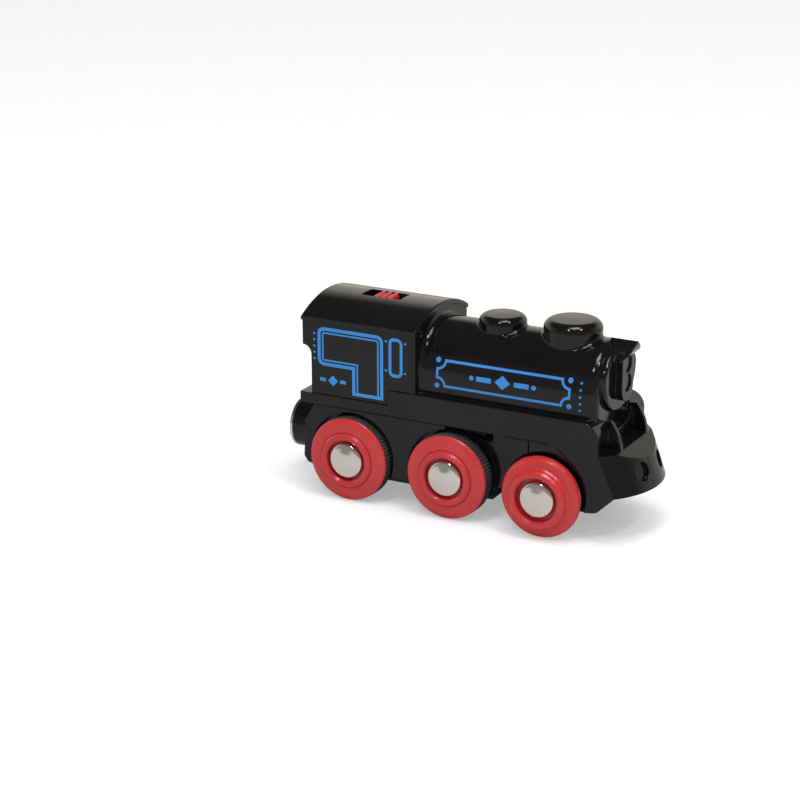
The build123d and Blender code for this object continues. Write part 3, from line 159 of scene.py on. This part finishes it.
MATERIALS = {
    "black_plastic": surface(
        "moulded_black_gloss", (0.0030, 0.0025, 0.0026), (0.0050, 0.0042, 0.0042), (0.07, 0.14),
        ((600, 0.004 * MM), (4000, 0.0006 * MM)), bevel=0.30 * MM, ior=1.42,
    ),
    "black_matte_plastic": surface(
        "moulded_black_satin", (0.008, 0.007, 0.007), (0.014, 0.013, 0.013), (0.42, 0.58),
        ((2600, 0.010 * MM),), bevel=0.15 * MM,
    ),
    "red_plastic": surface(
        "moulded_red_gloss", (0.37, 0.018, 0.019), (0.43, 0.026, 0.027), (0.18, 0.28),
        ((900, 0.008 * MM),), bevel=0.12 * MM,
    ),
    "white_plastic": surface(
        "natural_acetal", (0.70, 0.69, 0.64), (0.82, 0.81, 0.77), (0.32, 0.45),
        ((2200, 0.006 * MM),), bevel=0.04 * MM,
    ),
    "tyre_rubber": surface(
        "tyre_rubber", (0.020, 0.024, 0.026), (0.040, 0.046, 0.048), (0.55, 0.75),
        ((3200, 0.020 * MM), (800, 0.010 * MM)), bevel=0.05 * MM,
    ),
    "chrome": surface(
        "polished_chrome", (0.76, 0.71, 0.63), (0.84, 0.79, 0.72), (0.08, 0.14),
        ((400, 0.003 * MM),), metallic=1.0,
    ),
    "steel": surface(
        "plain_steel", (0.42, 0.42, 0.42), (0.56, 0.56, 0.55), (0.24, 0.40),
        ((2600, 0.006 * MM),), metallic=1.0, bevel=0.05 * MM, stretch=(1.0, 12.0, 1.0),
    ),
    "brass": surface(
        "turned_brass", (0.62, 0.44, 0.17), (0.74, 0.55, 0.24), (0.20, 0.36),
        ((2600, 0.006 * MM),), metallic=1.0, bevel=0.04 * MM,
    ),
    "magnet": surface(
        "sintered_magnet", (0.16, 0.16, 0.17), (0.26, 0.26, 0.27), (0.30, 0.50),
        ((3500, 0.010 * MM),), metallic=0.8, bevel=0.06 * MM,
    ),
    "copper_board": surface(
        "circuit_board_mask", (0.010, 0.110, 0.045), (0.016, 0.170, 0.065), (0.24, 0.38),
        ((2400, 0.010 * MM),), bevel=0.05 * MM,
    ),
    "cell_sleeve": surface(
        "cell_sleeve_film", (0.020, 0.17, 0.07), (0.030, 0.23, 0.10), (0.18, 0.30),
        ((600, 0.020 * MM),), bevel=0.10 * MM, stretch=(0.3, 1.0, 1.0),
    ),
    "wire_red": surface(
        "wire_red_sleeve", (0.42, 0.020, 0.020), (0.52, 0.034, 0.034), (0.32, 0.45),
        ((1500, 0.010 * MM),),
    ),
    "wire_black": surface(
        "wire_black_sleeve", (0.014, 0.014, 0.014), (0.026, 0.026, 0.026), (0.32, 0.45),
        ((1500, 0.010 * MM),),
    ),
    "blue_print": surface(
        "pad_printed_blue", (0.014, 0.165, 0.46), (0.022, 0.20, 0.52), (0.26, 0.40),
        ((3000, 0.004 * MM), (900, 0.003 * MM)),
    ),
}


# ---------------------------------------------------------------- CAD nodes
SMOOTH_ANGLE = math.radians(28)


def dress_cad_nodes():
    """Gives every CAD node its slot's material and smooth shading between sharp edges."""
    slot_of = {part["node"]: part["material_slot"] for part in frame["record"]["subparts"]}
    for name, obj in nodes.items():
        obj.data.materials.clear()
        obj.data.materials.append(MATERIALS[slot_of[name]])
        obj.data.polygons.foreach_set("use_smooth", [True] * len(obj.data.polygons))
        obj.data.set_sharp_from_angle(angle=SMOOTH_ANGLE)


# ---------------------------------------------------------------- printed lines
PRINT_LIFT = 0.03 * MM
PRINT_SINK = 0.05 * MM
STEP = 0.5 * MM
DOT_SIDES = 24
CORNER_STEPS = 8
CORE_SHARE = 0.02
MITRE_LIMIT = 0.3
RIVET_DOT = 0.28 * MM


def boiler_surface(z):
    """Half-width of the boiler's side at height z."""
    rise = max(0.0, z - BOILER_AXIS_Z)
    return math.sqrt(BOILER_SIDE**2 - rise**2)


def rounded(corners, radius_of):
    """Closed outline with rounded corners; radius_of gives each corner's radius."""
    points = []
    count = len(corners)
    for i, corner in enumerate(corners):
        here = Vector(corner)
        radius = radius_of[i]
        if not radius:
            points.append(here)
            continue
        back = (Vector(corners[i - 1]) - here).normalized()
        ahead = (Vector(corners[(i + 1) % count]) - here).normalized()
        half = back.angle(ahead) / 2
        reach = radius / math.tan(half)
        centre = here + (back + ahead).normalized() * radius / math.sin(half)
        start, end = here + back * reach - centre, here + ahead * reach - centre
        turn = start.angle_signed(end)
        for k in range(CORNER_STEPS + 1):
            points.append(centre + Matrix.Rotation(-turn * k / CORNER_STEPS, 2) @ start)
    return points


def subdivided(points):
    """The same closed outline with no stretch longer than STEP."""
    result = []
    for i, here in enumerate(points):
        ahead = points[(i + 1) % len(points)]
        parts = max(1, math.ceil((ahead - here).length / STEP))
        result += [here.lerp(ahead, k / parts) for k in range(parts)]
    return result


def offset_loop(points, distance):
    """Closed outline moved sideways by distance, with mitred corners."""
    result = []
    for i, here in enumerate(points):
        before = (here - points[i - 1]).normalized()
        after = (points[(i + 1) % len(points)] - here).normalized()
        normal_a = Vector((-before.y, before.x))
        normal_b = Vector((-after.y, after.x))
        middle = (normal_a + normal_b).normalized()
        result.append(here + middle * distance / max(MITRE_LIMIT, middle.dot(normal_b)))
    return result


class Print:
    """Collects printed shapes for one wall and turns them into one thin mesh per side."""

    def __init__(self, name, wall):
        self.name = name
        self.wall = wall
        self.strips = []

    def line(self, points, width, lift=PRINT_LIFT):
        """Closed stroke of even width."""
        points = subdivided(points)
        self.strips.append((offset_loop(points, width / 2), offset_loop(points, -width / 2), lift))

    def dot(self, x, z, radius):
        """Filled round dot."""
        rim = [
            Vector((x + radius * math.cos(2 * math.pi * k / DOT_SIDES),
                    z + radius * math.sin(2 * math.pi * k / DOT_SIDES)))
            for k in range(DOT_SIDES)
        ]
        self.patch(rim)

    def patch(self, rim):
        """Filled shape, spread from its middle so that it follows a curved wall."""
        rim = subdivided(rim)
        middle = sum(rim, Vector((0, 0))) / len(rim)
        core = [middle.lerp(point, CORE_SHARE) for point in rim]
        self.strips.append((rim, core, PRINT_LIFT))

    def build(self, side):
        """One mesh on the right (side -1) or left (side 1) wall."""
        mesh = bmesh.new()

        def vertex(point, lift):
            return mesh.verts.new((point.x, side * (self.wall(point.y) + lift), point.y))

        for outer, inner, lift in self.strips:
            rings = [
                [vertex(point, height) for point in loop]
                for loop, height in (
                    (outer, -PRINT_SINK), (outer, lift), (inner, lift), (inner, -PRINT_SINK)
                )
            ]
            count = len(outer)
            for a, b in zip(rings, rings[1:] + rings[:1]):
                for i in range(count):
                    j = (i + 1) % count
                    mesh.faces.new((a[i], a[j], b[j], b[i]))
        bmesh.ops.recalc_face_normals(mesh, faces=mesh.faces)
        data = bpy.data.meshes.new(self.name)
        mesh.to_mesh(data)
        mesh.free()
        obj = bpy.data.objects.new(f"{self.name}_{'left' if side > 0 else 'right'}", data)
        bpy.context.scene.collection.objects.link(obj)
        data.materials.append(MATERIALS["blue_print"])
        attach(obj, "engine_body")
        return obj


def at(x, z):
    """Point on a wall, in millimetres of the row frame."""
    return Vector((x * MM, z * MM))


def cab_print():
    """Window and door outline, side window, rivet dots and a small ornament."""
    art = Print("cab_print", lambda z: CAB_SIDE)
    outline = [
        (-33.85, 40.05), (-16.8, 40.05), (-16.8, 24.75), (-24.85, 24.75), (-24.85, 30.85), (-33.85, 30.85)
    ]
    line = [at(x, z) for x, z in outline]
    wide = offset_loop(line, -0.4 * MM)
    art.line(rounded(wide, [1.3 * MM, 1.3 * MM, 0, 0, 0, 1.3 * MM]), 0.8 * MM)
    thin = offset_loop(line, -1.35 * MM)
    thin[2].y -= 0.95 * MM
    thin[3].y -= 0.95 * MM
    art.line(rounded(thin, [0.4 * MM, 0.4 * MM, 0, 0, 0, 0.4 * MM]), 0.4 * MM, 0.5 * PRINT_LIFT)
    window = [at(x, z) for x, z in ((-15.05, 39.6), (-12.2, 39.6), (-12.2, 31.1), (-15.05, 31.1))]
    art.line(rounded(window, [1.0 * MM] * 4), 0.72 * MM)
    for x, z in ((-16.1, 39.0), (-11.2, 39.0), (-16.1, 32.1), (-11.2, 32.0)):
        art.dot(x * MM, z * MM, RIVET_DOT)
    for k in range(5):
        art.dot(-34.7 * MM, (38.3 - 1.5 * k) * MM, RIVET_DOT)
    # ornament in place of lettering: a lozenge between bars
    x, z = -29.9, 27.5
    art.patch([at(x - 1.3, z), at(x, z + 1.3), at(x + 1.3, z), at(x, z - 1.3)])
    for x in (-33.3, -28.0):
        art.patch([at(x, z + 0.4), at(x + 1.5, z + 0.4), at(x + 1.5, z - 0.4), at(x, z - 0.4)])
    return art


def boiler_print():
    """Banner with hollow corners, corner dots, a dotted column and a small ornament."""
    art = Print("boiler_print", boiler_surface)
    x_low, x_high, z_low, z_high, bite = -4.05, 28.2, 29.95, 35.75, 1.9
    outline = []
    for corner_x, corner_z, first in (
        (x_low, z_low, 90), (x_high, z_low, 180), (x_high, z_high, 270), (x_low, z_high, 0)
    ):
        for k in range(CORNER_STEPS + 1):
            turn = math.radians(first - 90 * k / CORNER_STEPS)
            outline.append(at(corner_x + bite * math.cos(turn), corner_z + bite * math.sin(turn)))
    art.line(outline, 0.56 * MM)
    for x in (x_low, x_high):
        for z in (z_low, z_high):
            art.dot(x * MM, z * MM, 0.6 * MM)
    for k in range(5):
        art.dot(30.8 * MM, (35.5 - 1.53 * k) * MM, RIVET_DOT)
    # ornament in place of lettering: a lozenge, two bars and two dots
    middle_x, middle_z = (x_low + x_high) / 2, (z_low + z_high) / 2
    art.patch([at(middle_x - 1.9, middle_z), at(middle_x, middle_z + 1.6),
               at(middle_x + 1.9, middle_z), at(middle_x, middle_z - 1.6)])
    for hand in (-1, 1):
        near, far = middle_x + hand * 2.8, middle_x + hand * 6.4
        art.patch([at(near, middle_z + 0.55), at(far, middle_z + 0.55),
                   at(far, middle_z - 0.55), at(near, middle_z - 0.55)])
        art.dot((middle_x + hand * 7.6) * MM, middle_z * MM, 0.55 * MM)
    return art


# ---------------------------------------------------------------- studio
FLOOR_LIFT, FLOOR_DIM = 0.35, 0.45
FLOOR_HALF = 4.0
FLOOR_GAP = 0.05 * MM
LIGHT_AIM = Vector((0, 0, 0.02))
SKY_WHITE = (0.98, 0.98, 0.98)
BACKDROP, FRONT_GREY, OVERHEAD_DARK = (0.95, 0.91, 0.82), (0.26, 0.26, 0.27), (0.085, 0.075, 0.080)


def pale_floor():
    """Matt white whose shadows are lifted for the camera and which mirrors as grey."""
    material = surface(
        "pale_floor", (0.80, 0.80, 0.80), (0.83, 0.83, 0.83), (0.55, 0.65), ((900, 0.02 * MM),)
    )
    tree_nodes, links = material.node_tree.nodes, material.node_tree.links
    path = tree_nodes.new("ShaderNodeLightPath")
    result = tree_nodes["Principled BSDF"].outputs["BSDF"]
    for ray, tint, share in (("Is Camera Ray", 1.0, FLOOR_LIFT), ("Is Glossy Ray", 0.0, FLOOR_DIM)):
        glow = tree_nodes.new("ShaderNodeEmission")
        glow.inputs["Color"].default_value = (tint, tint, tint, 1)
        weight = tree_nodes.new("ShaderNodeMath")
        weight.operation = "MULTIPLY"
        weight.inputs[1].default_value = share
        links.new(path.outputs[ray], weight.inputs[0])
        mix = tree_nodes.new("ShaderNodeMixShader")
        links.new(weight.outputs["Value"], mix.inputs["Fac"])
        links.new(result, mix.inputs[1])
        links.new(glow.outputs["Emission"], mix.inputs[2])
        result = mix.outputs["Shader"]
    links.new(result, tree_nodes["Material Output"].inputs["Surface"])
    return material


def floor():
    """Pale floor under the wheels."""
    mesh = bmesh.new()
    bmesh.ops.create_grid(mesh, x_segments=4, y_segments=4, size=FLOOR_HALF)
    data = bpy.data.meshes.new("floor")
    mesh.to_mesh(data)
    mesh.free()
    obj = bpy.data.objects.new("floor", data)
    obj.location.z = cad_box[0].z - FLOOR_GAP
    bpy.context.scene.collection.objects.link(obj)
    data.materials.append(pale_floor())


def area_light(name, place, size, power):
    """Square soft light aimed at the engine's middle."""
    data = bpy.data.lights.new(name, "AREA")
    data.size = size
    data.energy = power
    obj = bpy.data.objects.new(name, data)
    bpy.context.scene.collection.objects.link(obj)
    obj.location = place
    obj.rotation_mode = "QUATERNION"
    obj.rotation_quaternion = (LIGHT_AIM - Vector(place)).to_track_quat("-Z", "Y")


def sky():
    """World seen in glossy surfaces: pale backdrop behind, grey in front, dark overhead."""
    world = bpy.data.worlds.new("studio")
    world.use_nodes = True
    tree_nodes, links = world.node_tree.nodes, world.node_tree.links
    coords = tree_nodes.new("ShaderNodeTexCoord")
    facing = tree_nodes.new("ShaderNodeVectorMath")
    facing.operation = "DOT_PRODUCT"
    facing.inputs[1].default_value = (-math.sin(AZIMUTH), math.cos(AZIMUTH), 0)
    links.new(coords.outputs["Generated"], facing.inputs[0])
    split = tree_nodes.new("ShaderNodeSeparateXYZ")
    links.new(coords.outputs["Generated"], split.inputs["Vector"])
    behind = span(tree_nodes, links, facing.outputs["Value"], 0, 1, -0.3, 0.4)
    low = two_tone(tree_nodes, links, behind, FRONT_GREY, BACKDROP)
    height = span(tree_nodes, links, split.outputs["Z"], 0, 1, 0.42, 0.62)
    mirrored = tree_nodes.new("ShaderNodeMix")
    mirrored.data_type = "RGBA"
    mirrored.inputs["B"].default_value = (*OVERHEAD_DARK, 1)
    links.new(low, mirrored.inputs["A"])
    links.new(height, mirrored.inputs["Factor"])
    path = tree_nodes.new("ShaderNodeLightPath")
    seen = tree_nodes.new("ShaderNodeMix")
    seen.data_type = "RGBA"
    seen.inputs["A"].default_value = (*SKY_WHITE, 1)
    links.new(mirrored.outputs["Result"], seen.inputs["B"])
    links.new(path.outputs["Is Glossy Ray"], seen.inputs["Factor"])
    links.new(seen.outputs["Result"], tree_nodes["Background"].inputs["Color"])
    return world


def studio():
    """World, lights and tone."""
    scene = bpy.context.scene
    scene.world = sky()
    scene.view_settings.view_transform = "Standard"
    area_light("overhead", (0.14, -0.10, 0.85), 0.34, 3.2)
    area_light("key", (0.02, -0.47, 0.68), 0.07, 1.0)
    area_light("second_key", (0.44, -0.16, 0.68), 0.07, 1.0)


def camera():
    """Camera at the photograph's viewing angle."""
    elevation, roll = math.radians(18.79), math.radians(-0.128)
    target, distance, lens = Vector((-19.43, 0, 20.59)) * MM, 0.5079, 97.96
    data = bpy.data.cameras.new("camera")
    data.lens = lens
    data.sensor_width = 36
    data.clip_start, data.clip_end = 0.01, 20
    obj = bpy.data.objects.new("camera", data)
    bpy.context.scene.collection.objects.link(obj)
    back = Vector(
        (
            math.sin(AZIMUTH) * math.cos(elevation),
            -math.cos(AZIMUTH) * math.cos(elevation),
            math.sin(elevation),
        )
    )
    obj.location = target + back * distance
    obj.rotation_mode = "QUATERNION"
    look = (-back).to_track_quat("-Z", "Y")
    obj.rotation_quaternion = look @ Matrix.Rotation(roll, 3, "Z").to_quaternion()
    bpy.context.scene.camera = obj


dress_cad_nodes()
for art in (cab_print(), boiler_print()):
    for side in (-1, 1):
        art.build(side)
floor()
studio()
camera()
